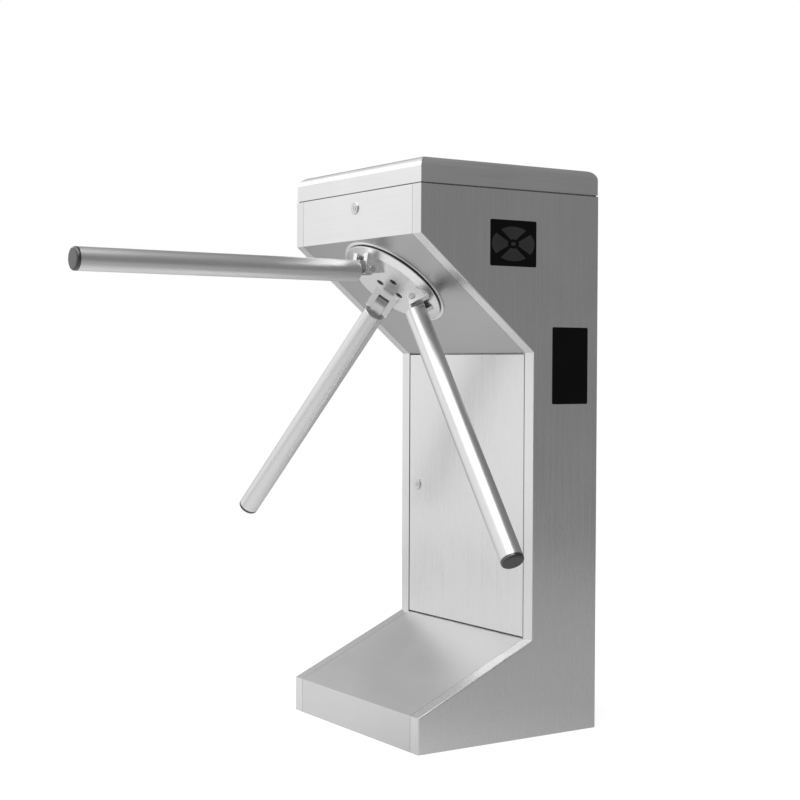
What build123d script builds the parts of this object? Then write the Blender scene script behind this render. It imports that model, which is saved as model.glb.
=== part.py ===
from build123d import *
import math
import os

# Tripod turnstile that counts visitors: a C-shaped sheet-metal pedestal whose slanted
# under-face carries a three-arm rotor.  Millimetres and degrees.
# +Z is up.  -X is the passage side, where the top arm points.  The object is symmetric
# about the XZ plane.  The origin is the centre of the anchor-bolt pattern, on the floor.

# ---------------------------------------------------------------- driving dimensions
HEIGHT = 980.0
DEPTH = 376.0
WIDTH = 408.0
LID_SEAM_Z = 935.0
HEAD_BOTTOM_Z = 854.0
SLANT = 39.6                # slope of the face that carries the rotor
RECESS_DEPTH = 234.0
RECESS_BOTTOM_Z = 167.0
FOOT_TOP_Z = 61.0

SHEET = 2.0                 # cabinet sheet
THIN = 1.5                  # lid and door sheet
STRIP = 25.0                # folded edge of each side panel
SEAM = 0.6                  # gap between a side panel's fold and the panel beside it
FOLD_R = 2.2                # outer radius of the side panels' folds
LID_GAP = 2.0
LID_INSET = 1.2
LID_EDGE_R = 17.0

HUB_ALONG_SLANT = 107.0     # head's lower edge to the rotor axis
APEX = -20.0                # where the three arm axes meet, measured along the rotor axis
CLOCKING = -2.4             # the arms are clamped this far off the head's centre plane
ARM_R = 19.0
ARM_BORE_R = 17.5
ARM_START = 97.0
ARM_END = 618.0
CAP_LENGTH = 7.0
CAP_GROOVE = 0.8            # shadow gap between tube and cap
PIN_ALONG_ARM = 75.0
PIN_OFFSET = 4.0            # the pivot pin sits this far off the arm axis, towards the hub
PIN_R = 5.0
PIN_HEAD_R = 6.2
TONGUE_HALF = 10.7
TONGUE_END_R = 11.0
EAR_INNER = 11.0
EAR_OUTER = 22.0

HUB_R = 97.0
HUB_RIM_Z = (4.0, 6.5)
HUB_FACE_R = 80.0
HUB_FACE_Z = 12.5
HUB_SEAT_Z = 8.8            # underside of the disc's face, where the brackets are welded
SCREW_CIRCLE_R = 23.0
SCREW_ANGLES = (60, 180, 300)
SCREW_R = 3.5
SCREW_HEAD_R = 6.6
RING_R = 103.0
RING_HEIGHT = 2.4

INDICATOR = (-48.0, 50.0, 806.0, 884.0)     # x from, x to, z from, z to
READER = (86.0, 165.0, 572.0, 705.0)
WINDOW_CLEARANCE = 0.3
WINDOW_LIP = 5.0

DOOR_HALF = 177.0
DOOR_FLANGE = 12.0
DOOR_GAP = 2.0
DOOR_PIVOT = (6.0, -172.0)  # x behind the recess face, y
DOOR_LOCK = (151.0, 413.0)  # y, z
LID_LOCK_Z = 910.0
LOCK_FACE_R = 11.0
LOCK_BODY_R = 9.5
PLUG_R = 5.95
LID_LOCK_BODY = 23.0
STRIKE_X = 30.0
STRIKE_Y = (10.0, 24.0)
STRIKE_DROP = 11.0          # the strike's hook, below the lid lock's axis
DOOR_LOCK_BODY = 20.0

ANCHOR_SPACING = 300.0
ANCHOR_R = 6.0
BASE_THICKNESS = 6.0
CABLE_X = 110.0
CABLE_R = 25.0

# Mechanism, along the rotor axis: positive is out of the cabinet, negative is inside.
CHASSIS = (-36.0, -30.0)
INDEX_DISC = (-80.0, -72.0)
LOCK_DISC = (-94.0, -86.0)
GEAR = (-108.0, -100.0)
ENCODER = (-122.0, -120.5)
INDEX_R = 64.0
LOCK_DISC_R = 46.0
LOCK_LUG_R = 58.0
LOCK_LUG_HALF_ANGLE = 5.5
GEAR_MODULE = 3.0
GEAR_TEETH = 40
PINION_TEETH = 16
NOSE_ANGLE = 107.0          # where each lock pawl's nose meets the lock disc
PAWL_PIVOT = (60.0, 80.0)
PAWL_TRAVEL = 9.0
PLUNGER_X = 10.0
PLUNGER_R = 4.0
PLUNGER_TIP_Y = 83.5
SHAFT_R = 17.5
SHAFT_END_R = 15.0
HOUSING_R = 40.0
BEARING_R = 31.0
BEARING_WIDTH = 14.0
BEARING_STARTS = (-66.0, -38.0)
SENSOR_ANGLE = 228.0
SENSOR_POST_R = 78.0
DAMPER_POSTS = ((-128.0, 20.0), (-128.0, -20.0))
DAMPER_FLANGE = (-118.0, -112.0)
DETENT_BLADE_X = (-73.6, -72.4)
DETENT_CLAMP_Y = (48.0, 68.0)
RUNNING = 0.05              # radial clearance of a running fit

# Lid hinges
HINGE_BEHIND = 3.3          # pin axis behind the back panel
HINGE_ABOVE = 1.0           # pin axis above the lid seam
HINGE_LENGTH = 60.0
HINGE_YS = (-120.0, 120.0)
HINGE_BARREL_R = 3.2
HINGE_PIN_R = 1.5
HINGE_LEAF = 1.4
HINGE_LEAF_REACH = 24.0

# Inside the column, as boxes: x from, x to, y from, y to, z from, z to.
TRAY = (160.0, 162.0, -150.0, 150.0, 230.0, 530.0)
BOARD = (146.0, 147.6, -140.0, 10.0, 300.0, 510.0)
SUPPLY = (118.0, 160.0, 30.0, 140.0, 300.0, 500.0)
PROCESSOR = (140.0, 146.0, -60.0, -10.0, 400.0, 450.0)
RELAY = (134.0, 146.0, -120.0, -80.0, 330.0, 370.0)
TERMINALS = (136.0, 146.0, -130.0, 0.0, 488.0, 498.0)
VENT_ROWS = (730.0, 790.0)
VENT_COLUMNS = 9
VENT_PITCH = 16.0
VENT_HEIGHT = 36.0
VENT_WIDTH = 4.0

# ---------------------------------------------------------------- derived places
FRONT_X = -DEPTH / 2
BACK_X = DEPTH / 2
RECESS_X = FRONT_X + RECESS_DEPTH
RECESS_TOP_Z = HEAD_BOTTOM_Z - RECESS_DEPTH * math.tan(math.radians(SLANT))
HALF_WIDTH = WIDTH / 2
PANEL_HALF = HALF_WIDTH - STRIP - SEAM
CONE = 90.0 - SLANT         # half-angle of the arms' cone: the top arm lies level

PROFILE = [
    (FRONT_X, LID_SEAM_Z),
    (FRONT_X, HEAD_BOTTOM_Z),
    (RECESS_X, RECESS_TOP_Z),
    (RECESS_X, RECESS_BOTTOM_Z),
    (FRONT_X, FOOT_TOP_Z),
    (FRONT_X, 0.0),
    (BACK_X, 0.0),
    (BACK_X, LID_SEAM_Z),
]
HEAD_TOP, HEAD_BOTTOM, RECESS_TOP, RECESS_BOTTOM = 0, 1, 2, 3
TOE, HEEL, BACK_TOP = 5, 6, 7

SIN = math.sin(math.radians(SLANT))
COS = math.cos(math.radians(SLANT))
HUB_OUT = Vector(-SIN, 0, -COS)
HUB_UP = Vector(-COS, 0, SIN)
HUB_ORIGIN = Vector(FRONT_X + HUB_ALONG_SLANT * COS, 0, HEAD_BOTTOM_Z - HUB_ALONG_SLANT * SIN)
HUB = Plane(origin=HUB_ORIGIN, x_dir=HUB_UP, z_dir=HUB_OUT).location

CONE_SIN = math.sin(math.radians(CONE))
CONE_COS = math.cos(math.radians(CONE))
PIN_RADIAL = PIN_ALONG_ARM * CONE_SIN + PIN_OFFSET * CONE_COS
PIN_HEIGHT = APEX + PIN_ALONG_ARM * CONE_COS - PIN_OFFSET * CONE_SIN
ARM_AXIS = (CONE_SIN, 0, CONE_COS)
ARM_FRAME = Plane(origin=(0, 0, APEX), x_dir=(CONE_COS, 0, -CONE_SIN), z_dir=ARM_AXIS).location

HINGE_X = BACK_X + HINGE_BEHIND
HINGE_Z = LID_SEAM_Z + HINGE_ABOVE
PINION_X = -GEAR_MODULE * (GEAR_TEETH + PINION_TEETH) / 2
SOLENOID_Z = (LOCK_DISC[0] + LOCK_DISC[1]) / 2


# ---------------------------------------------------------------- helpers
def block(x0, x1, y0, y1, z0, z1):
    """A box between two corners."""
    centre = Pos((x0 + x1) / 2, (y0 + y1) / 2, (z0 + z1) / 2)
    return centre * Box(abs(x1 - x0), abs(y1 - y0), abs(z1 - z0))


def rod(radius, z0, z1, x=0.0, y=0.0):
    """A cylinder along Z."""
    return Pos(x, y, (z0 + z1) / 2) * Cylinder(radius, abs(z1 - z0))


def rod_x(radius, x0, x1, y, z):
    """A cylinder along X."""
    return Pos((x0 + x1) / 2, y, z) * Rot(0, 90, 0) * Cylinder(radius, abs(x1 - x0))


def rod_y(radius, y0, y1, x, z):
    """A cylinder along Y."""
    return Pos(x, (y0 + y1) / 2, z) * Rot(90, 0, 0) * Cylinder(radius, abs(y1 - y0))


def hexagon(corner_radius, z0, z1):
    """A hexagonal bar along Z."""
    return extrude(Pos(0, 0, z0) * RegularPolygon(corner_radius, 6), amount=z1 - z0)


def polar(radius, angle):
    return radius * math.cos(math.radians(angle)), radius * math.sin(math.radians(angle))


def side_profile(points, y0, y1):
    """An XZ outline extruded from y0 to y1."""
    outline = Plane.XZ.offset(-y1) * Polygon(*points, align=None)
    return extrude(outline, amount=y1 - y0, dir=(0, -1, 0))


def inset_corner(index, thickness):
    """The corner of the cabinet outline, moved inwards by a sheet's thickness."""
    before = PROFILE[index - 1]
    corner = PROFILE[index]
    after = PROFILE[(index + 1) % len(PROFILE)]
    normals = []
    for start, end in ((before, corner), (corner, after)):
        dx, dz = end[0] - start[0], end[1] - start[1]
        length = math.hypot(dx, dz)
        normals.append((-dz / length, dx / length))
    (ax, az), (bx, bz) = normals
    reach = thickness / (1 + ax * bx + az * bz)
    return corner[0] + reach * (ax + bx), corner[1] + reach * (az + bz)


def outline_wall(first, last, half_width, thickness=SHEET):
    """The sheet that lies along the cabinet outline from one corner to a later one."""
    indices = range(first, last + 1)
    outer = [PROFILE[i] for i in indices]
    inner = [inset_corner(i, thickness) for i in indices]
    return side_profile(outer + inner[::-1], -half_width, half_width)


def ring_block(outer_x, outer_y, inner_x, inner_y, z0, z1):
    """A rectangular ring about the Z axis, given by half-sizes."""
    outer = block(-outer_x, outer_x, -outer_y, outer_y, z0, z1)
    return outer - block(-inner_x, inner_x, -inner_y, inner_y, z0 - 1, z1 + 1)


def around(shape, angle):
    """A shape turned about the rotor axis, in the hub's own frame."""
    return Rot(0, 0, angle) * shape


def both_sides(shape):
    """A shape and its mirror image in the XZ plane, as separate solids."""
    return Compound(children=[shape, mirror(shape, Plane.XZ)])


def group(shapes):
    """Identical pieces kept as separate solids of one node."""
    return Compound(children=list(shapes))


# ---------------------------------------------------------------- cabinet
def side_panel(side):
    """C-shaped pan: a flat side with a folded edge all the way round."""
    inner = [inset_corner(i, SHEET) for i in range(len(PROFILE))]
    pan = side_profile(PROFILE, -HALF_WIDTH, -HALF_WIDTH + STRIP)
    pan -= side_profile(inner, -HALF_WIDTH + SHEET, -HALF_WIDTH + STRIP + 1)
    outer_face = pan.faces().sort_by(Axis.Y)[0]
    pan = fillet(outer_face.outer_wire().edges(), FOLD_R)
    for x0, x1, z0, z1 in (INDICATOR, READER):
        opening = block(x0, x1, -HALF_WIDTH - 1, -HALF_WIDTH + SHEET + 1, z0, z1)
        pan -= fillet(opening.edges().filter_by(Axis.Y), 3.0)
    return pan if side < 0 else mirror(pan, Plane.XZ)


def head_front_panel():
    panel = outline_wall(HEAD_TOP, HEAD_BOTTOM, PANEL_HALF)
    return panel - rod_x(LOCK_BODY_R, FRONT_X - 5, FRONT_X + 5, 0, LID_LOCK_Z)


def slant_panel():
    panel = outline_wall(HEAD_BOTTOM, RECESS_TOP, PANEL_HALF)
    return panel - HUB * rod(44.0, -10, 10)


def aperture_ring():
    """Trim ring round the hub aperture, welded on the slanted panel."""
    ring = rod(RING_R, 0, RING_HEIGHT)
    ring = chamfer(ring.edges().sort_by(Axis.Z)[-1], 1.2)
    return HUB * (ring - rod(46.0, -1, RING_HEIGHT + 1))


def foot_cover():
    """One bent sheet: the sloping foot plate and the short toe below it."""
    return outline_wall(RECESS_BOTTOM, TOE, PANEL_HALF)


def back_panel():
    panel = outline_wall(HEEL, BACK_TOP, PANEL_HALF)
    for row_z in VENT_ROWS:
        for column in range(VENT_COLUMNS):
            y = (column - (VENT_COLUMNS - 1) / 2) * VENT_PITCH
            slot = (y - VENT_WIDTH / 2, y + VENT_WIDTH / 2, row_z, row_z + VENT_HEIGHT)
            panel -= block(BACK_X - 5, BACK_X + 5, *slot)
    return panel


def base_plate():
    plate = block(FRONT_X + SHEET, BACK_X - SHEET, -PANEL_HALF, PANEL_HALF, 0, BASE_THICKNESS)
    half = ANCHOR_SPACING / 2
    for x in (-half, half):
        for y in (-half, half):
            plate -= rod(ANCHOR_R, -1, BASE_THICKNESS + 1, x, y)
    return plate - rod(CABLE_R, -1, BASE_THICKNESS + 1, CABLE_X)


def cable_grommet():
    """Rubber edging of the floor cable entry."""
    sleeve = rod(CABLE_R, 0.5, BASE_THICKNESS) + rod(CABLE_R + 5, BASE_THICKNESS, BASE_THICKNESS + 4)
    return Pos(CABLE_X, 0, 0) * (sleeve - rod(CABLE_R - 5, 0, BASE_THICKNESS + 5))


def top_rim():
    """Flange that closes the head's top edge, with an upstand inside the lid."""
    flange = ring_block(BACK_X - SHEET, PANEL_HALF, 168, 160, LID_SEAM_Z - SHEET, LID_SEAM_Z)
    upstand = ring_block(172, 174, 170, 172, LID_SEAM_Z, LID_SEAM_Z + 13)
    return flange + upstand


def lid_gasket():
    return ring_block(185, 200.5, 178, 192, LID_SEAM_Z, LID_SEAM_Z + LID_GAP - 0.2)


def door_frame():
    """Channel round the door opening: side walls, a stop lip and the pivot holes."""
    z0, z1 = RECESS_BOTTOM_Z, RECESS_TOP_Z + 0.5
    wall, lip, depth = 182.5, 163.0, 18.0
    x0, x1 = RECESS_X + SHEET, RECESS_X + depth
    frame = block(x0, x1, -wall, wall, z0 - 2, z1 + 2)
    frame -= block(x0 - 1, x1 - 2, -wall + 2, wall - 2, z0, z1)
    frame -= block(x1 - 5, x1 + 1, -lip, lip, z0 + 17, z1 - 17)
    return frame - rod(3 + RUNNING, z0 - 5, z1 + 5, RECESS_X + DOOR_PIVOT[0], DOOR_PIVOT[1])


# ---------------------------------------------------------------- locks
def lock_housing(face_x, y, z, hole_depth):
    """Body of a cam lock whose face looks towards -X, with its fixing nut."""
    rose = rod_x(LOCK_FACE_R, face_x - 2, face_x, y, z)
    rose = fillet(rose.edges().sort_by(Axis.X)[0], 0.8)
    body = rose + rod_x(LOCK_BODY_R, face_x, face_x + hole_depth, y, z)
    nut = Pos(face_x + 7, y, z) * Rot(0, 90, 0) * hexagon(14, -2.5, 2.5)
    return body + nut - rod_x(PLUG_R + RUNNING, face_x - 5, face_x + hole_depth + 5, y, z)


def lock_plug(face_x, y, z, hole_depth, cam_length):
    """Turning plug of a cam lock, with the key slot and the cam at its end."""
    plug = rod_x(PLUG_R, face_x - 2.6, face_x + hole_depth + 3, y, z)
    plug -= block(face_x - 3, face_x - 1, y - 0.6, y + 0.6, z - 3.6, z + 3.6)
    cam_x = face_x + hole_depth + 0.5
    cam = block(cam_x, cam_x + 2.5, y - 6, y + 6, z - 7, z + cam_length)
    return plug + fillet(cam.edges().filter_by(Axis.X), 3.0)


# ---------------------------------------------------------------- lid
def lid():
    """Sheet cover with rounded top edges and an inward lower flange."""
    x, y = BACK_X - LID_INSET, HALF_WIDTH - LID_INSET
    z0 = LID_SEAM_Z + LID_GAP
    shell = block(-x, x, -y, y, z0, HEIGHT)
    shell = fillet(shell.faces().sort_by(Axis.Z)[-1].outer_wire().edges(), LID_EDGE_R)
    hollow = block(-x + THIN, x - THIN, -y + THIN, y - THIN, z0 - 1, HEIGHT - THIN)
    top_edges = hollow.faces().sort_by(Axis.Z)[-1].outer_wire().edges()
    shell -= fillet(top_edges, LID_EDGE_R - THIN)
    return shell + ring_block(x - THIN, y - THIN, 178, 191, z0, z0 + THIN)


def lid_lock_strike():
    """Bent strip welded under the lid: the lock's cam turns in above its hook."""
    x, y, hook_z, top_z = FRONT_X + STRIKE_X, STRIKE_Y, LID_LOCK_Z - STRIKE_DROP, HEIGHT - THIN
    strike = block(x - 7, x + 2, *y, hook_z, hook_z + 2)
    strike += block(x, x + 2, *y, hook_z, top_z)
    return strike + block(x, x + 16, *y, top_z - 2, top_z)


def fixed_hinge_leaf(y):
    """Hinge leaf on the back panel, with the two outer knuckles."""
    half, sixth = HINGE_LENGTH / 2, HINGE_LENGTH / 6
    face_x = BACK_X + HINGE_LEAF
    leaf = block(BACK_X, face_x, y - half, y + half, HINGE_Z - HINGE_LEAF_REACH, HINGE_Z - 3.6)
    for y0, y1 in ((y - half, y - sixth), (y + sixth, y + half)):
        leaf += block(BACK_X, face_x, y0, y1, HINGE_Z - 4, HINGE_Z)
        leaf += rod_y(HINGE_BARREL_R, y0, y1, HINGE_X, HINGE_Z)
    return leaf - rod_y(HINGE_PIN_R, y - half - 1, y + half + 1, HINGE_X, HINGE_Z)


def moving_hinge_leaf(y):
    """Hinge leaf on the lid's back, with the middle knuckle."""
    half, middle = HINGE_LENGTH / 2, HINGE_LENGTH / 6 - 0.4
    back_x, face_x = BACK_X - LID_INSET, BACK_X + HINGE_LEAF
    leaf = block(back_x, face_x, y - middle, y + middle, LID_SEAM_Z + LID_GAP, HINGE_Z + 6)
    leaf += block(back_x, face_x, y - half, y + half, HINGE_Z + 4.5, HINGE_Z + HINGE_LEAF_REACH)
    leaf += rod_y(HINGE_BARREL_R, y - middle, y + middle, HINGE_X, HINGE_Z)
    return leaf - rod_y(HINGE_PIN_R + RUNNING, y - half - 1, y + half + 1, HINGE_X, HINGE_Z)


def hinge_pin(y):
    half = HINGE_LENGTH / 2
    return rod_y(HINGE_PIN_R, y - half, y + half, HINGE_X, HINGE_Z)


# ---------------------------------------------------------------- door
def access_door():
    """Sheet door with folded edges, flush with the recess face."""
    z0, z1 = RECESS_BOTTOM_Z + DOOR_GAP, RECESS_TOP_Z - DOOR_GAP
    x0, x1 = RECESS_X, RECESS_X + DOOR_FLANGE
    door = block(x0, x1, -DOOR_HALF, DOOR_HALF, z0, z1)
    door = fillet(door.faces().sort_by(Axis.X)[0].outer_wire().edges(), 1.2)
    door -= block(x0 + THIN, x1 + 1, -DOOR_HALF + THIN, DOOR_HALF - THIN, z0 + THIN, z1 - THIN)
    door -= rod_x(LOCK_BODY_R, x0 - 5, x0 + 5, *DOOR_LOCK)
    pivot_x = RECESS_X + DOOR_PIVOT[0]
    return door - rod(3.0, z0 - 5, z1 + 5, pivot_x, DOOR_PIVOT[1])


def door_pivot_pins():
    """Upper and lower pins that carry the door."""
    x, y = RECESS_X + DOOR_PIVOT[0], DOOR_PIVOT[1]
    low, high = RECESS_BOTTOM_Z, RECESS_TOP_Z
    lower = rod(3.0, low - 2, low + 12, x, y)
    upper = rod(3.0, high - 12, high + 2.5, x, y)
    return group([lower, upper])


# ---------------------------------------------------------------- windows and electronics
def window(frame):
    """Dark pane set in a side opening, with a lip behind the sheet."""
    x0, x1, z0, z1 = frame
    c = WINDOW_CLEARANCE
    pane = block(x0 + c, x1 - c, -HALF_WIDTH + 0.4, -HALF_WIDTH + SHEET, z0 + c, z1 - c)
    pane = fillet(pane.edges().filter_by(Axis.Y), 2.8)
    lip_y = -HALF_WIDTH + SHEET
    lip = (z0 - WINDOW_LIP, z1 + WINDOW_LIP)
    return pane + block(x0 - WINDOW_LIP, x1 + WINDOW_LIP, lip_y, lip_y + 2.5, *lip)


def indicator_board():
    """Lamp board behind an indicator window: board, lamps and spacers."""
    x0, x1, z0, z1 = INDICATOR
    back = -HALF_WIDTH + SHEET + 2.5
    board = block(x0 + 2, x1 - 2, back + 8, back + 9.6, z0 + 2, z1 - 2)
    for x in (x0 + 7, x1 - 7):
        for z in (z0 + 7, z1 - 7):
            board += rod_y(3, back, back + 8, x, z)
    cx, cz = (x0 + x1) / 2, (z0 + z1) / 2
    for ring_r, count in ((12, 6), (24, 12)):
        for step in range(count):
            lamp_x, lamp_z = polar(ring_r, 360 * step / count)
            board += rod_y(2.5, back + 3, back + 8, cx + lamp_x, cz + lamp_z)
    return board


def card_reader():
    """Card reader module behind a reader window."""
    x0, x1, z0, z1 = READER
    back = -HALF_WIDTH + SHEET + 2.5
    shell = block(x0 + 4, x1 - 4, back, back + 18, z0 + 8, z1 - 8)
    return fillet(shell.edges().filter_by(Axis.Y), 4.0)


def posts_x(radius, box, margin, x_end):
    """Four posts behind the corners of an upright plate."""
    posts = []
    for y in (box[2] + margin, box[3] - margin):
        for z in (box[4] + margin, box[5] - margin):
            posts.append(rod_x(radius, box[1], x_end, y, z))
    return posts


def electronics_tray():
    """Plate on four posts from the back panel."""
    tray = block(*TRAY)
    for leg in posts_x(6, TRAY, 15, BACK_X - SHEET):
        tray += leg
    return tray


def control_board():
    """Counting and lock control board, on posts from the tray."""
    board = block(*BOARD)
    for leg in posts_x(3.5, BOARD, 8, TRAY[0]):
        board += leg
    for component in (PROCESSOR, RELAY, TERMINALS):
        board += block(*component)
    for z in (420, 445, 470):
        board += rod_x(6, BOARD[0] - 18, BOARD[0], -110, z)
    return board


def power_supply():
    case = block(*SUPPLY)
    for z in range(320, 481, 16):
        case -= block(SUPPLY[0] - 1, SUPPLY[0] + 2, SUPPLY[2] + 15, SUPPLY[3] - 15, z, z + 5)
    return case


# ---------------------------------------------------------------- rotor
def hub_disc():
    """Dished cover plate on the shaft's flange, with a bevelled rim."""
    rim_low, rim_high = HUB_RIM_Z
    outline = Polygon(
        (0, rim_low), (38, rim_low), (42, 8.5), (84, 8.5), (90, rim_low), (HUB_R - 0.6, rim_low),
        (HUB_R, rim_low + 0.6), (HUB_R, rim_high - 0.6), (HUB_R - 0.7, rim_high),
        (HUB_FACE_R, HUB_FACE_Z), (0, HUB_FACE_Z), align=None,
    )
    disc = revolve(Plane.XZ * outline, Axis.Z)
    for angle in SCREW_ANGLES:
        x, y = polar(SCREW_CIRCLE_R, angle)
        disc -= rod(SCREW_R, 0, 20, x, y) + rod(SCREW_HEAD_R + 0.4, 10.5, 20, x, y)
    return HUB * around(disc, CLOCKING)


def hub_screw(angle):
    """Cap screw with a hexagon socket, in a recess of the disc."""
    x, y = polar(SCREW_CIRCLE_R, angle)
    screw = rod(SCREW_R, -6, 10.5, x, y) + rod(SCREW_HEAD_R, 10.5, 12.0, x, y)
    screw -= Pos(x, y, 0) * hexagon(2.9, 10.9, 13)
    return HUB * around(screw, CLOCKING)


def station(arm):
    """The place of arm 1, 2 or 3 round the hub: X is radial, Z is along the rotor axis."""
    return HUB * Rot(0, 0, CLOCKING + 120.0 * (arm - 1))


def arm_bracket(arm, hub):
    """Clevis on the hub plate: two triangular ears joined by a web."""
    seat = HUB_SEAT_Z
    ear = [(37, 12.4), (66.5, 41.8), (86, seat + 0.2), (80, seat), (37, seat)]
    ears = side_profile(ear, EAR_INNER, EAR_OUTER) + side_profile(ear, -EAR_OUTER, -EAR_INNER)
    crests = ears.edges().filter_by(Axis.Y).sort_by(Axis.Z)[-2:]
    ears = fillet(crests, 2.5)
    web_outline = [(37, 12.4), (43, 18.3), (49.5, 18.3), (49.5, seat), (37, seat)]
    web = side_profile(web_outline, -EAR_INNER - 2, EAR_INNER + 2)
    web -= rod_y(TONGUE_END_R + 1.3, -30, 30, PIN_RADIAL, PIN_HEIGHT)
    bracket = ears + web - rod_y(PIN_R, -30, 30, PIN_RADIAL, PIN_HEIGHT)
    return station(arm) * bracket - hub


def arm_brackets():
    hub = hub_disc()
    return group(arm_bracket(arm, hub) for arm in (1, 2, 3))


def pivot_pin(arm):
    """Pin of one arm in the hub's clevis, with low rounded heads."""
    pin = rod_y(PIN_R, -EAR_OUTER, EAR_OUTER, PIN_RADIAL, PIN_HEIGHT)
    for side in (-1, 1):
        head = rod_y(PIN_HEAD_R, side * EAR_OUTER, side * (EAR_OUTER + 1), PIN_RADIAL, PIN_HEIGHT)
        rim = head.edges().filter_by(GeomType.CIRCLE).sort_by(Axis.Y)
        pin += chamfer(rim[-1] if side > 0 else rim[0], 0.6)
    return station(arm) * pin


def arm_tube(arm):
    tube = rod(ARM_R, ARM_START, ARM_END - CAP_LENGTH) - rod(ARM_BORE_R, 0, ARM_END)
    return station(arm) * ARM_FRAME * tube


def arm_tongue(arm):
    """Root fitting of an arm: a flat tongue round the pin, a collar and a plug in the tube."""
    collar_z = ARM_START - 2.5
    tongue = rod_y(TONGUE_END_R, -TONGUE_HALF, TONGUE_HALF, PIN_OFFSET, PIN_ALONG_ARM)
    low = PIN_OFFSET - TONGUE_END_R
    tongue += block(low, ARM_R, -TONGUE_HALF, TONGUE_HALF, PIN_ALONG_ARM, collar_z)
    collar = rod(ARM_R, collar_z, ARM_START)
    tongue += fillet(collar.edges().sort_by(Axis.Z)[0], 2.0)
    tongue += rod(ARM_BORE_R, ARM_START, ARM_START + 30)
    tongue -= rod_y(PIN_R + RUNNING, -30, 30, PIN_OFFSET, PIN_ALONG_ARM)
    return station(arm) * ARM_FRAME * tongue


def arm_cap(arm):
    """End plug of an arm, with a rounded face behind a shallow groove."""
    tube_end = ARM_END - CAP_LENGTH
    face = rod(ARM_R, tube_end + CAP_GROOVE, ARM_END)
    face = fillet(face.edges().sort_by(Axis.Z)[-1], 4.0)
    cap = face + rod(ARM_BORE_R, tube_end - 20, tube_end + CAP_GROOVE)
    return station(arm) * ARM_FRAME * cap


def main_shaft():
    """Stepped shaft with the flange that carries the hub disc."""
    shaft = rod(38, -8, HUB_RIM_Z[0]) + rod(SHAFT_R, -68, -8)
    shaft += rod(SHAFT_END_R, -128, -68) + rod(10, -138, -128)
    for angle in SCREW_ANGLES:
        shaft -= rod(SCREW_R, -6, 10, *polar(SCREW_CIRCLE_R, angle + CLOCKING))
    return HUB * shaft


def shaft_nut():
    return HUB * (hexagon(17, -136, -128) - rod(10, -140, -120))


def on_shaft(shape):
    """A disc bored for the shaft's thinner end, in place on the rotor axis."""
    return HUB * (shape - rod(SHAFT_END_R, ENCODER[0] - 5, -60))


def index_disc():
    """Disc with three notches that the detent roller drops into."""
    disc = rod(INDEX_R, *INDEX_DISC)
    for angle in SCREW_ANGLES:
        x, y = polar(INDEX_R + 2, angle)
        disc -= rod(7.0, INDEX_DISC[0] - 1, INDEX_DISC[1] + 1, x, y)
    return on_shaft(disc)


def lock_disc():
    """Disc with three lugs that the lock pawls catch."""
    disc = rod(LOCK_DISC_R, *LOCK_DISC)
    half_lug = LOCK_LUG_R * math.radians(LOCK_LUG_HALF_ANGLE)
    for angle in (0, 120, 240):
        disc += around(block(30, LOCK_LUG_R, -half_lug, half_lug, *LOCK_DISC), angle)
    return on_shaft(disc)


def gear_outline(teeth, backlash=0.25):
    """Involute spur gear outline with a 20 degree pressure angle."""
    pitch_r = GEAR_MODULE * teeth / 2
    base_r = pitch_r * math.cos(math.radians(20))
    tip_r = pitch_r + GEAR_MODULE * 0.95
    root_r = pitch_r - GEAR_MODULE * 1.25
    involute = math.tan(math.radians(20)) - math.radians(20)
    half_pitch_angle = (math.pi * GEAR_MODULE / 2 - backlash) / (2 * pitch_r)
    start_r = max(base_r, root_r + 0.3)
    flank = []
    for step in range(5):
        radius = start_r + (tip_r - start_r) * step / 4
        pressure = math.acos(min(1.0, base_r / radius))
        angle = half_pitch_angle + involute - (math.tan(pressure) - pressure)
        flank.append((radius, angle))
    points = []
    for tooth in range(teeth):
        centre = 2 * math.pi * tooth / teeth
        lower = [(root_r, -flank[0][1])] + [(r, -a) for r, a in flank]
        upper = [(r, a) for r, a in reversed(flank)] + [(root_r, flank[0][1])]
        for radius, angle in lower + upper:
            points.append((radius * math.cos(centre + angle), radius * math.sin(centre + angle)))
    return Polygon(*points, align=None)


def main_gear():
    """Gear that drives the damper, with six lightening holes."""
    gear = extrude(Pos(0, 0, GEAR[0]) * gear_outline(GEAR_TEETH), amount=GEAR[1] - GEAR[0])
    for angle in range(30, 360, 60):
        gear -= rod(11, GEAR[0] - 1, GEAR[1] + 1, *polar(36, angle))
    return on_shaft(gear)


def damper_pinion():
    """Pinion on the damper's shaft, in mesh with the main gear."""
    tooth_gap = 180.0 / PINION_TEETH
    teeth = extrude(Pos(0, 0, GEAR[0]) * gear_outline(PINION_TEETH), amount=GEAR[1] - GEAR[0])
    pinion = Rot(0, 0, tooth_gap) * teeth + rod(4, -128, -98)
    return HUB * Pos(PINION_X, 0, 0) * pinion


def encoder_disc():
    """Slotted disc that the counting sensor reads."""
    disc = rod(46, *ENCODER)
    for angle in range(0, 360, 15):
        disc -= around(block(34, 42, -2, 2, ENCODER[0] - 1, ENCODER[1] + 1), angle)
    return on_shaft(disc)


# ---------------------------------------------------------------- fixed mechanism
def chassis_plate():
    """Mechanism plate across the head, with a folded end against each side panel."""
    plate = block(-140, 80, -202, 202, *CHASSIS)
    for side in (-1, 1):
        plate += block(-140, 80, side * 199, side * 202, CHASSIS[1], -8)
    return HUB * (plate - rod(40.2, -50, -20))


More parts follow.
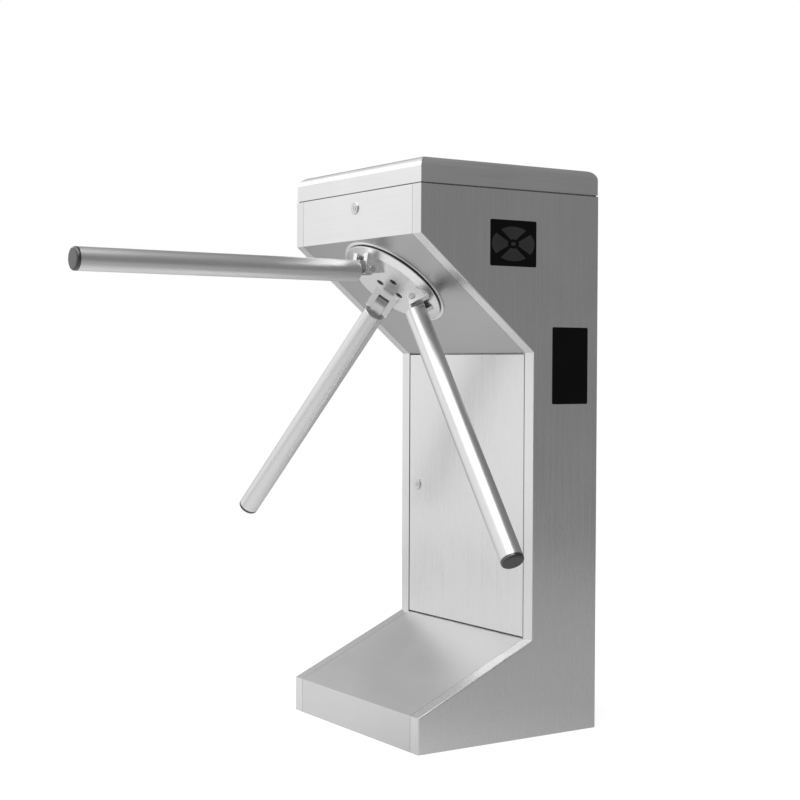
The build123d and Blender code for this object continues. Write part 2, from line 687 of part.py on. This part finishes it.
def bearing_housing():
    """Flanged sleeve on the chassis, bored for a bearing at each end."""
    seat = BEARING_STARTS[0] + BEARING_WIDTH
    housing = rod(54, CHASSIS[1], CHASSIS[1] + 6) + rod(HOUSING_R, BEARING_STARTS[0], CHASSIS[1] + 6)
    housing -= rod(BEARING_R - 4, -70, -20)
    housing -= rod(BEARING_R, -70, seat) + rod(BEARING_R, BEARING_STARTS[1], -20)
    return HUB * housing


def bearing(z0):
    """Deep-groove ball bearing: two rings with the balls' band between them."""
    z1 = z0 + BEARING_WIDTH
    outer = rod(BEARING_R, z0, z1) - rod(27.5, z0 - 1, z1 + 1)
    inner = rod(21, z0, z1) - rod(SHAFT_R, z0 - 1, z1 + 1)
    band = rod(27.5, z0 + 3, z1 - 3) - rod(21, z0, z1)
    return HUB * (outer + inner + band)


def post(x, y, z_end, radius, sleeve_radius=0.0, sleeve_end=0.0):
    """A post standing on the chassis, with an optional thicker foot."""
    shape = rod(radius, z_end, CHASSIS[0], x, y)
    if sleeve_radius:
        shape += rod(sleeve_radius, sleeve_end, CHASSIS[0], x, y)
    return shape


def mechanism_posts():
    """Posts pressed in the chassis, and the block that clamps the detent blade."""
    px, py = PAWL_PIVOT
    pawl_foot = LOCK_DISC[1] + 0.5
    posts = [post(px, side * py, -107, 4.0, 7.0, pawl_foot) for side in (-1, 1)]
    posts += [post(x, y, -112, 5.0) for x, y in DAMPER_POSTS]
    posts.append(post(*polar(SENSOR_POST_R, SENSOR_ANGLE), -112, 5.0))
    posts.append(block(-86, DETENT_BLADE_X[0], *DETENT_CLAMP_Y, -84, CHASSIS[0]))
    return group(HUB * shape for shape in posts)


def detent_spring():
    """Blade spring with the roller that rests in a notch of the index disc."""
    blade = block(*DETENT_BLADE_X, -5, DETENT_CLAMP_Y[1], INDEX_DISC[0] - 1, INDEX_DISC[1] + 1)
    roller = rod(5.8, INDEX_DISC[0], INDEX_DISC[1], -66.8, 0)
    return HUB * (blade + roller)


def damper_body():
    """Rotary damper on its flange, beside the main gear."""
    flange = block(-138, PINION_X + 22, -30, 30, *DAMPER_FLANGE)
    body = flange + rod(26, -152, DAMPER_FLANGE[0], PINION_X)
    return HUB * (body - rod(4 + RUNNING, -130, -100, PINION_X))


def sensor_block():
    """Optical fork that counts the encoder's slots."""
    fork = block(38, 86, -8, 8, -128, -112) - block(30, 52, -10, 10, -124.5, -118)
    return HUB * around(fork, SENSOR_ANGLE)


def pawl_shape():
    """Lock pawl on the +Y side, drawn engaged with the lock disc."""
    px, py = PAWL_PIVOT
    z0, z1 = LOCK_DISC
    elbow_x, elbow_y = polar(64, NOSE_ANGLE)
    length = math.hypot(px - elbow_x, py - elbow_y)
    tilt = math.degrees(math.atan2(elbow_y - py, elbow_x - px))
    lever = Pos(px, py, 0) * Rot(0, 0, tilt) * block(0, length + 2, -6, 6, z0, z1)
    lever += rod(10, z0, z1, px, py)
    lever += around(block(LOCK_DISC_R + 2.5, 66, -4.5, 4.5, z0, z1), NOSE_ANGLE)
    return lever - rod(4 + RUNNING, z0 - 1, z1 + 1, px, py)


def lock_pawl(side):
    """Lock pawl at rest, swung clear of the lock disc."""
    px, py = PAWL_PIVOT
    swing = Pos(px, py, 0) * Rot(0, 0, -PAWL_TRAVEL) * Pos(-px, -py, 0)
    pawl = swing * pawl_shape()
    if side < 0:
        pawl = mirror(pawl, Plane.XZ)
    return HUB * pawl


def pawl_springs():
    """Torsion springs round the pawl posts."""
    px, py = PAWL_PIVOT
    coils = []
    for side in (-1, 1):
        path = Helix(pitch=2.0, height=7.0, radius=5.6)
        start = path @ 0
        coil = sweep(Plane(origin=start, z_dir=path % 0) * Circle(0.6), path=path)
        coils.append(HUB * Pos(px, side * py, -103) * coil)
    return group(coils)


def solenoid(side):
    """Lock solenoid on an angle bracket from the chassis."""
    x0, x1 = PLUNGER_X - 15, PLUNGER_X + 15
    body = block(x0, x1, 105, 150, SOLENOID_Z - 14, SOLENOID_Z + 14)
    body += block(x0, x1, 146, 150, SOLENOID_Z - 14, CHASSIS[0])
    body += block(x0, x1, 146, 172, CHASSIS[0] - 3, CHASSIS[0])
    body -= rod_y(PLUNGER_R + RUNNING, 100, 146, PLUNGER_X, SOLENOID_Z)
    return HUB * (body if side > 0 else mirror(body, Plane.XZ))


def plunger(side):
    """Solenoid plunger with the pad that pushes a lock pawl."""
    bar = rod_y(PLUNGER_R, PLUNGER_TIP_Y, 140, PLUNGER_X, SOLENOID_Z)
    bar += rod_y(6, PLUNGER_TIP_Y, PLUNGER_TIP_Y + 4, PLUNGER_X, SOLENOID_Z)
    return HUB * (bar if side > 0 else mirror(bar, Plane.XZ))


# ---------------------------------------------------------------- assembly
def make_nodes():
    lid_lock = (FRONT_X, 0.0, LID_LOCK_Z, LID_LOCK_BODY)
    door_lock = (RECESS_X, *DOOR_LOCK, DOOR_LOCK_BODY)
    nodes = {
        "side_panel_left": side_panel(-1),
        "side_panel_right": side_panel(1),
        "head_front_panel": head_front_panel(),
        "slant_panel": slant_panel(),
        "aperture_ring": aperture_ring(),
        "foot_cover": foot_cover(),
        "back_panel": back_panel(),
        "base_plate": base_plate(),
        "cable_grommet": cable_grommet(),
        "top_rim": top_rim(),
        "lid_gasket": lid_gasket(),
        "door_frame": door_frame(),
        "lid_lock_housing": lock_housing(*lid_lock),
        "lid_lock_plug": lock_plug(*lid_lock, 22.0),
        "lid": lid(),
        "lid_lock_strike": lid_lock_strike(),
        "lid_hinge_fixed_leaves": group(fixed_hinge_leaf(y) for y in HINGE_YS),
        "lid_hinge_moving_leaves": group(moving_hinge_leaf(y) for y in HINGE_YS),
        "lid_hinge_pins": group(hinge_pin(y) for y in HINGE_YS),
        "access_door": access_door(),
        "door_pivot_pins": door_pivot_pins(),
        "door_lock_housing": lock_housing(*door_lock),
        "door_lock_plug": lock_plug(*door_lock, 25.0),
        "indicator_windows": both_sides(window(INDICATOR)),
        "indicator_boards": both_sides(indicator_board()),
        "reader_windows": both_sides(window(READER)),
        "card_readers": both_sides(card_reader()),
        "electronics_tray": electronics_tray(),
        "control_board": control_board(),
        "power_supply": power_supply(),
        "hub_disc": hub_disc(),
        "rotor_fasteners": group([*map(hub_screw, SCREW_ANGLES), shaft_nut()]),
        "arm_brackets": arm_brackets(),
        "pivot_pins": group(pivot_pin(arm) for arm in (1, 2, 3)),
        "main_shaft": main_shaft(),
        "index_disc": index_disc(),
        "lock_disc": lock_disc(),
        "main_gear": main_gear(),
        "encoder_disc": encoder_disc(),
        "damper_pinion": damper_pinion(),
        "chassis_plate": chassis_plate(),
        "bearing_housing": bearing_housing(),
        "shaft_bearings": group(bearing(z0) for z0 in BEARING_STARTS),
        "mechanism_posts": mechanism_posts(),
        "detent_spring": detent_spring(),
        "damper_body": damper_body(),
        "sensor_block": sensor_block(),
        "pawl_springs": pawl_springs(),
        "solenoid_bodies": group(solenoid(side) for side in (-1, 1)),
        "lock_pawl_left": lock_pawl(-1),
        "lock_pawl_right": lock_pawl(1),
        "lock_plunger_left": plunger(-1),
        "lock_plunger_right": plunger(1),
    }
    for arm in (1, 2, 3):
        nodes[f"arm_tube_{arm}"] = arm_tube(arm)
    nodes["arm_tongue_1"] = arm_tongue(1)
    nodes["arm_tongues_2_3"] = group(arm_tongue(arm) for arm in (2, 3))
    nodes["arm_cap_1"] = arm_cap(1)
    nodes["arm_caps_2_3"] = group(arm_cap(arm) for arm in (2, 3))
    return nodes


os.makedirs("parts", exist_ok=True)
for name, shape in make_nodes().items():
    export_step(shape, f"parts/{name}.step")
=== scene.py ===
import math

import bmesh
import bpy
from mathutils import Matrix, Vector


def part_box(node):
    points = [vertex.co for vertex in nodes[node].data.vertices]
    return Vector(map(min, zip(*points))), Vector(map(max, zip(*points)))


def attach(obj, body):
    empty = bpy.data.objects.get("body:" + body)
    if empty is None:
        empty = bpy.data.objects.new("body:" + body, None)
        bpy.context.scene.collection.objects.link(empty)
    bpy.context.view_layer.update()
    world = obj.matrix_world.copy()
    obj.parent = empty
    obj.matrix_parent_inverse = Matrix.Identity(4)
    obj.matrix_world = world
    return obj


# Looks of a tripod turnstile in satin stainless steel.  Metres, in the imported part's frame.
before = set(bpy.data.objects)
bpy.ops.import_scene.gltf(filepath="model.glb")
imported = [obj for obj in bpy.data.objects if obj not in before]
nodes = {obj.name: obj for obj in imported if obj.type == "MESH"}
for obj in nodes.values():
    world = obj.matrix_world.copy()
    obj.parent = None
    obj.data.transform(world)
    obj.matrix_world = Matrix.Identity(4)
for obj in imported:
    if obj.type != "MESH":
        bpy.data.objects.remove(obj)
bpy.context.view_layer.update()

MM = 0.001

# ---------------------------------------------------------------- looks of the pieces
# Noise frequency along X, Y and Z, per metre.  A low one draws streaks along that axis.
ALONG_Z = (900.0, 900.0, 6.0)
ALONG_Y = (900.0, 6.0, 900.0)
LEVEL = (6.0, 6.0, 900.0)
FINE = (260.0, 260.0, 260.0)
SAND_CAST = (180.0, 180.0, 180.0)
SPANGLED = (60.0, 60.0, 60.0)
MOTTLED = (14.0, 14.0, 14.0)
CLOUDED = (5.0, 5.0, 5.0)
NOISE_RANGE = (0.3, 0.7)            # what a noise texture mostly keeps to

NEUTRAL = (1.0, 1.0, 1.0)
COOL = (0.95, 1.0, 1.06)
ZINC_TINT = (0.97, 1.0, 1.03)

# Metal goes from the first to the second share of its tone, driven by streaks and clouds.
METAL_TONES = (0.90, 1.10)
METAL_TONE_GAIN = 5.0
METAL_GRAIN_DEPTH = 0.4 * MM
CLOUD_DISTORTION = 0.6
CLOUD_SHARE = 0.6
CLOUD_ROUGHNESS = 0.03

# Plastic and lacquer vary by these shares, in tone and in roughness.
PLASTIC_VARIATION = (0.85, 1.15)
PLASTIC_GRAIN_DEPTH = 0.2 * MM

METALS = {
    "side_steel": {"tone": 0.66, "roughness": 0.28, "stretch": ALONG_Z},
    "front_steel": {"tone": 0.68, "roughness": 0.34, "stretch": LEVEL},
    "door_steel": {"tone": 0.66, "roughness": 0.30, "stretch": ALONG_Z},
    "lid_steel": {"tone": 0.68, "roughness": 0.33, "stretch": LEVEL},
    # Same satin steel as the side panels, with a much lower tone: painted shade for the dim reflections
    # the slant panel takes.
    "slant_steel_painted_shade": {"tone": 0.43, "roughness": 0.32, "stretch": ALONG_Y},
    # Same satin steel as the side panels, with a slightly lower tone: painted shade for the dimmer
    # reflections on the foot cover.
    "foot_steel_painted_shade": {"tone": 0.60, "roughness": 0.36, "stretch": ALONG_Y},
    "rotor_steel": {"tone": 0.73, "roughness": 0.28, "stretch": FINE, "relief": 0.0, "wander": 0.01},
    "arm_steel": {"tone": 0.64, "roughness": 0.36, "stretch": FINE, "contrast": 0.02, "relief": 0.0,
                  "wander": 0.005},
    "cap_steel": {"tone": 0.11, "roughness": 0.34, "stretch": FINE, "contrast": 0.04},
    "chrome": {"tone": 0.58, "roughness": 0.18, "stretch": FINE, "contrast": 0.02},
    "zinc": {"tone": 0.56, "roughness": 0.42, "stretch": SPANGLED, "contrast": 0.06, "tint": ZINC_TINT},
    "machined": {"tone": 0.50, "roughness": 0.27, "stretch": FINE, "contrast": 0.05},
    "spring_steel": {"tone": 0.30, "roughness": 0.25, "stretch": FINE, "contrast": 0.05, "tint": COOL},
    "cast": {"tone": 0.60, "roughness": 0.50, "stretch": SAND_CAST, "contrast": 0.06},
}

PLASTICS = {
    "lacquer": {"colour": (0.035, 0.035, 0.038), "roughness": 0.35, "grain": 600.0, "coat": 0.3},
    "window": {"colour": (0.0025, 0.0025, 0.0025), "roughness": 0.12, "grain": 500.0, "relief": 0.01,
               "specular": 0.12},
    "diffuser": {"colour": (0.034, 0.034, 0.036), "roughness": 0.34, "specular": 0.2},
    "module": {"colour": (0.028, 0.028, 0.030), "roughness": 0.50},
    "board": {"colour": (0.015, 0.12, 0.055), "roughness": 0.35, "grain": 700.0, "coat": 0.2},
    "case": {"colour": (0.42, 0.43, 0.44), "roughness": 0.40, "grain": 500.0},
    "black_oxide": {"colour": (0.03, 0.03, 0.033), "roughness": 0.35, "grain": 800.0, "metallic": 0.6},
    "rubber": {"colour": (0.02, 0.02, 0.02), "roughness": 0.75, "grain": 700.0},
    "silicone": {"colour": (0.22, 0.22, 0.22), "roughness": 0.60, "grain": 700.0},
}

NODE_MATERIALS = {
    "side_steel": ["side_panel_left", "side_panel_right", "back_panel"],
    "front_steel": ["head_front_panel"],
    "door_steel": ["access_door"],
    "lid_steel": ["lid"],
    "slant_steel_painted_shade": ["slant_panel"],
    "foot_steel_painted_shade": ["foot_cover"],
    "rotor_steel": ["hub_disc", "aperture_ring", "arm_brackets"],
    "arm_steel": ["arm_tube_1", "arm_tube_2", "arm_tube_3", "arm_tongue_1", "arm_tongues_2_3"],
    "cap_steel": ["arm_cap_1", "arm_caps_2_3"],
    "chrome": ["lid_lock_housing", "lid_lock_plug", "door_lock_housing", "door_lock_plug"],
    "zinc": ["base_plate", "top_rim", "door_frame", "electronics_tray", "chassis_plate",
             "lid_hinge_fixed_leaves", "lid_hinge_moving_leaves", "lid_lock_strike"],
    "machined": ["pivot_pins", "main_shaft", "shaft_bearings", "index_disc", "lock_disc", "main_gear",
                 "mechanism_posts", "lid_hinge_pins", "door_pivot_pins", "lock_pawl_left",
                 "lock_pawl_right", "lock_plunger_left", "lock_plunger_right", "damper_pinion"],
    "black_oxide": ["rotor_fasteners", "encoder_disc"],
    "spring_steel": ["detent_spring", "pawl_springs"],
    "cast": ["bearing_housing", "damper_body"],
    "lacquer": ["solenoid_bodies"],
    "window": ["indicator_windows", "reader_windows"],
    "module": ["card_readers", "sensor_block"],
    "board": ["indicator_boards", "control_board"],
    "case": ["power_supply"],
    "rubber": ["cable_grommet"],
    "silicone": ["lid_gasket"],
}

# ---------------------------------------------------------------- lamp segments
QUARTERS = 4
PETAL_OUTER = (45 * MM, 29 * MM)
PETAL_INNER_SHARE = 0.27
PETAL_INNER = [PETAL_INNER_SHARE * radius for radius in PETAL_OUTER]
PETAL_HALF_ANGLES = (36.0, 27.0)    # degrees, at the outer and at the inner edge
PETAL_STEPS = (16, 8)               # straight steps along the same two edges
PETAL_THICKNESS = 0.15 * MM
LAMP_DROP = 1.0 * MM                # the lamp's centre, below the window's
CENTRE_OUTLINE = (6 * MM, 4 * MM, 45.0, 315.0, 3)    # four corners on a small ellipse

# ---------------------------------------------------------------- stage, light and camera
WORLD_WHITE = 1.0
FLOOR_WHITE = 0.85
BRIGHT_TOWARDS = Vector((-0.80, 0.45, 0.40)).normalized()
BRIGHT_REACH = (0.18, 0.78)
ROOM_LEVELS = (0.27, 1.12)

FLOOR_RADIUS = 2.4
FLOOR_SEGMENTS = 64
FLOOR_GREY = 0.30
FLOOR_ROUGHNESS = 0.9
FLOOR_LEVELS = (0.72, 0.24)
POOL_CENTRE = Vector((-0.60, 0.60, 0.0))
POOL_REACH = (0.3, 1.45)

# Direction from the target, distance, width and height, and power in watts.
BOX_TARGET = Vector((-0.1, 0.0, 0.75))
SOFT_BOXES = {
    "top_box": ((-0.36, -0.08, 0.93), 2.3, (2.8, 2.3), 33.0),
    "front_box": ((-0.25, -0.62, 0.74), 2.6, (1.0, 1.0), 12.0),
    "back_box": ((-0.40, 0.80, 0.45), 2.6, (0.8, 0.35), 5.0),
}

# Angles in degrees, lens and sensor in millimetres.
CAMERA_PLACE = Vector((-1.6104, -2.3107, 0.6405))
CAMERA_YAW = 33.29
CAMERA_PITCH = 1.32
CAMERA_ROLL = -0.24
CAMERA_LENS = 70.35
CAMERA_SENSOR = 36.0
CAMERA_CLIP_END = 200.0


# ---------------------------------------------------------------- shader helpers
def new_material(name):
    """A node material, with its tree and its main shader."""
    material = bpy.data.materials.new(name)
    material.use_nodes = True
    tree = material.node_tree
    return material, tree, tree.nodes["Principled BSDF"]


def opaque(colour):
    """A colour with full alpha, as shader sockets want it."""
    return (*colour, 1.0)


def noise(tree, stretch, detail, distortion=0.0):
    """Noise in the part's own frame, with its own frequency along each axis, per metre."""
    place = tree.nodes.new("ShaderNodeTexCoord")
    mapping = tree.nodes.new("ShaderNodeMapping")
    mapping.inputs["Scale"].default_value = stretch
    texture = tree.nodes.new("ShaderNodeTexNoise")
    texture.inputs["Scale"].default_value = 1.0
    texture.inputs["Detail"].default_value = detail
    texture.inputs["Distortion"].default_value = distortion
    tree.links.new(place.outputs["Object"], mapping.inputs["Vector"])
    tree.links.new(mapping.outputs["Vector"], texture.inputs["Vector"])
    return texture.outputs["Fac"]


def map_range(tree, source, source_range, levels):
    """A node that takes a source's range to a range of levels."""
    ramp = tree.nodes.new("ShaderNodeMapRange")
    ramp.inputs["From Min"].default_value, ramp.inputs["From Max"].default_value = source_range
    ramp.inputs["To Min"].default_value, ramp.inputs["To Max"].default_value = levels
    tree.links.new(source, ramp.inputs["Value"])
    return ramp


def spread(tree, source, low, high):
    """A value from low to high as a noise goes over its usual range."""
    return map_range(tree, source, NOISE_RANGE, (low, high)).outputs["Result"]


def math_node(tree, operation, first, second):
    """Arithmetic on two sockets or numbers."""
    node = tree.nodes.new("ShaderNodeMath")
    node.operation = operation
    for socket, value in zip(node.inputs, (first, second)):
        if isinstance(value, float):
            socket.default_value = value
        else:
            tree.links.new(value, socket)
    return node.outputs["Value"]


def tone_ramp(tree, source, dark, light):
    """A colour between two tones."""
    mix = tree.nodes.new("ShaderNodeMix")
    mix.data_type = "RGBA"
    mix.inputs["A"].default_value = opaque(dark)
    mix.inputs["B"].default_value = opaque(light)
    tree.links.new(source, mix.inputs["Factor"])
    return mix.outputs["Result"]


def bump(tree, shader, height, strength, distance):
    """Relief on the shader's normal."""
    node = tree.nodes.new("ShaderNodeBump")
    node.inputs["Strength"].default_value = strength
    node.inputs["Distance"].default_value = distance
    tree.links.new(height, node.inputs["Height"])
    tree.links.new(node.outputs["Normal"], shader.inputs["Normal"])


# ---------------------------------------------------------------- materials
def metal(name, tone, roughness, stretch, contrast=0.03, tint=NEUTRAL, relief=0.06, wander=0.05):
    """Satin metal: fine streaks along the grain over broad, faint clouds of polish."""
    material, tree, shader = new_material(name)
    shader.inputs["Metallic"].default_value = 1.0
    streaks = noise(tree, stretch, detail=4.0)
    clouds = noise(tree, CLOUDED, detail=2.0, distortion=CLOUD_DISTORTION)
    cloud_contrast = CLOUD_SHARE * contrast
    shade = math_node(tree, "ADD", spread(tree, streaks, -contrast, contrast),
                      spread(tree, clouds, -cloud_contrast, cloud_contrast))
    factor = math_node(tree, "ADD", 0.5, math_node(tree, "MULTIPLY", shade, METAL_TONE_GAIN))
    dark, light = ([min(1.0, tone * share) * part for part in tint] for share in METAL_TONES)
    tree.links.new(tone_ramp(tree, factor, dark, light), shader.inputs["Base Color"])
    rough = math_node(tree, "ADD", spread(tree, streaks, roughness - wander, roughness + wander),
                      spread(tree, clouds, -CLOUD_ROUGHNESS, CLOUD_ROUGHNESS))
    tree.links.new(rough, shader.inputs["Roughness"])
    if relief:
        bump(tree, shader, streaks, relief, METAL_GRAIN_DEPTH)
    return material


def plastic(name, colour, roughness, grain=900.0, coat=0.0, metallic=0.0, relief=0.15, specular=0.5):
    """Moulded plastic or lacquer with a fine texture and faint tone changes."""
    material, tree, shader = new_material(name)
    shader.inputs["Specular IOR Level"].default_value = specular
    shader.inputs["Metallic"].default_value = metallic
    shader.inputs["Coat Weight"].default_value = coat
    fine = noise(tree, (grain, grain, grain), detail=2.0)
    broad = noise(tree, MOTTLED, detail=3.0)
    dark, light = ([min(1.0, share * part) for part in colour] for share in PLASTIC_VARIATION)
    smooth, rough = (share * roughness for share in PLASTIC_VARIATION)
    tones = tone_ramp(tree, spread(tree, broad, 0.0, 1.0), dark, light)
    tree.links.new(tones, shader.inputs["Base Color"])
    tree.links.new(spread(tree, broad, smooth, rough), shader.inputs["Roughness"])
    bump(tree, shader, fine, relief, PLASTIC_GRAIN_DEPTH)
    return material


def paint_nodes(materials):
    """Each CAD node gets its one material."""
    for material_name, members in NODE_MATERIALS.items():
        for node in members:
            slots = nodes[node].data.materials
            slots.clear()
            slots.append(materials[material_name])


# ---------------------------------------------------------------- pieces
def add_object(bm, name, material):
    """A mesh object made from a finished bmesh."""
    mesh = bpy.data.meshes.new(name)
    bm.to_mesh(mesh)
    bm.free()
    mesh.materials.append(material)
    piece = bpy.data.objects.new(name, mesh)
    bpy.context.scene.collection.objects.link(piece)
    return piece


def arc(radius_x, radius_z, start, end, steps):
    """Points on an ellipse in the XZ plane, from one angle to another, in degrees."""
    points = []
    for step in range(steps + 1):
        angle = math.radians(start + (end - start) * step / steps)
        points.append((radius_x * math.cos(angle), radius_z * math.sin(angle)))
    return points


def plate(bm, outline, centre, y_low, y_high):
    """A flat XZ outline given thickness along Y."""
    low = [bm.verts.new((centre.x + x, y_low, centre.z + z)) for x, z in outline]
    high = [bm.verts.new((centre.x + x, y_high, centre.z + z)) for x, z in outline]
    bm.faces.new(low)
    bm.faces.new(high[::-1])
    for i in range(len(outline)):
        j = (i + 1) % len(outline)
        bm.faces.new((low[j], low[i], high[i], high[j]))


def lamp_petals(side, material):
    """Four segments of the indicator lamp, in an ellipse round a small centre."""
    low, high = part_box("indicator_windows")
    centre = (low + high) / 2
    centre.z -= LAMP_DROP
    face = high.y if side > 0 else low.y
    y_low, y_high = sorted((face, face + side * PETAL_THICKNESS))
    outer_half, inner_half = PETAL_HALF_ANGLES
    outer_steps, inner_steps = PETAL_STEPS
    bm = bmesh.new()
    for quarter in range(QUARTERS):
        middle = quarter * 360.0 / QUARTERS
        outer = arc(*PETAL_OUTER, middle - outer_half, middle + outer_half, outer_steps)
        inner = arc(*PETAL_INNER, middle + inner_half, middle - inner_half, inner_steps)
        plate(bm, outer + inner, centre, y_low, y_high)
    plate(bm, arc(*CENTRE_OUTLINE), centre, y_low, y_high)
    bmesh.ops.recalc_face_normals(bm, faces=bm.faces)
    name = "lamp_petals_right" if side > 0 else "lamp_petals_left"
    piece = add_object(bm, name, material)
    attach(piece, "cabinet")


# ---------------------------------------------------------------- stage, light and camera
def graded(tree, coordinate, operation, vector, reach, levels):
    """A level that changes smoothly with a place's or a direction's relation to a vector."""
    place = tree.nodes.new("ShaderNodeTexCoord")
    relation = tree.nodes.new("ShaderNodeVectorMath")
    relation.operation = operation
    relation.inputs[1].default_value = vector
    tree.links.new(place.outputs[coordinate], relation.inputs[0])
    ramp = map_range(tree, relation.outputs["Value"], reach, levels)
    ramp.interpolation_type = "SMOOTHSTEP"
    return ramp.outputs["Result"]


def to_camera_white(tree, level, white):
    """The stage is seen as plain white, whatever level it lights the object with."""
    seen = tree.nodes.new("ShaderNodeLightPath")
    mix = tree.nodes.new("ShaderNodeMix")
    mix.data_type = "FLOAT"
    tree.links.new(seen.outputs["Is Camera Ray"], mix.inputs["Factor"])
    tree.links.new(level, mix.inputs["A"])
    mix.inputs["B"].default_value = white
    return mix.outputs["Result"]


def floor():
    """A pale floor with a soft pool of light in front of the turnstile, on its far side."""
    material, tree, shader = new_material("floor_white")
    shader.inputs["Base Color"].default_value = (FLOOR_GREY, FLOOR_GREY, FLOOR_GREY, 1.0)
    shader.inputs["Roughness"].default_value = FLOOR_ROUGHNESS
    shader.inputs["Specular IOR Level"].default_value = 0.0
    shader.inputs["Emission Color"].default_value = opaque(NEUTRAL)
    thrown = graded(tree, "Object", "DISTANCE", POOL_CENTRE, POOL_REACH, FLOOR_LEVELS)
    tree.links.new(to_camera_white(tree, thrown, FLOOR_WHITE), shader.inputs["Emission Strength"])
    bm = bmesh.new()
    bmesh.ops.create_circle(bm, cap_ends=True, segments=FLOOR_SEGMENTS, radius=FLOOR_RADIUS)
    piece = add_object(bm, "floor", material)


def studio():
    """A soft room that is bright in front of the turnstile and above, and dim behind it."""
    world = bpy.data.worlds.new("studio")
    bpy.context.scene.world = world
    world.use_nodes = True
    tree = world.node_tree
    background = tree.nodes["Background"]
    background.inputs["Color"].default_value = opaque(NEUTRAL)
    level = graded(tree, "Generated", "DOT_PRODUCT", BRIGHT_TOWARDS, BRIGHT_REACH, ROOM_LEVELS)
    tree.links.new(to_camera_white(tree, level, WORLD_WHITE), background.inputs["Strength"])


def soft_box(name, towards, distance, size, power):
    """A rectangular lamp that faces the target."""
    light = bpy.data.lights.new(name, "AREA")
    light.shape = "RECTANGLE"
    light.size, light.size_y = size
    light.energy = power
    lamp = bpy.data.objects.new(name, light)
    lamp.location = BOX_TARGET + Vector(towards).normalized() * distance
    lamp.rotation_euler = (BOX_TARGET - lamp.location).to_track_quat("-Z", "Y").to_euler()
    bpy.context.scene.collection.objects.link(lamp)


def camera():
    """The camera, turned by its yaw, then pitched down, then rolled about its own axis."""
    yaw, pitch, roll = (math.radians(a) for a in (CAMERA_YAW, CAMERA_PITCH, CAMERA_ROLL))
    forward = Vector((math.sin(yaw) * math.cos(pitch), math.cos(yaw) * math.cos(pitch), -math.sin(pitch)))
    level_right = Vector((math.cos(yaw), -math.sin(yaw), 0.0))
    level_down = forward.cross(level_right)
    right = level_right * math.cos(roll) + level_down * math.sin(roll)
    down = level_down * math.cos(roll) - level_right * math.sin(roll)
    lens = bpy.data.cameras.new("camera")
    lens.lens = CAMERA_LENS
    lens.sensor_width = CAMERA_SENSOR
    lens.clip_end = CAMERA_CLIP_END
    view = bpy.data.objects.new("camera", lens)
    turn = Matrix((right, -down, -forward)).transposed().to_4x4()
    view.matrix_world = Matrix.Translation(CAMERA_PLACE) @ turn
    bpy.context.scene.collection.objects.link(view)
    bpy.context.scene.camera = view


# ---------------------------------------------------------------- the scene
bpy.context.scene.view_settings.view_transform = "Standard"
camera()
floor()
studio()
for box_name, box_values in SOFT_BOXES.items():
    soft_box(box_name, *box_values)

piece_materials = {name: metal(name, **look) for name, look in METALS.items()}
piece_materials.update((name, plastic(name, **look)) for name, look in PLASTICS.items())
paint_nodes(piece_materials)
for side in (-1, 1):
    lamp_petals(side, piece_materials["diffuser"])
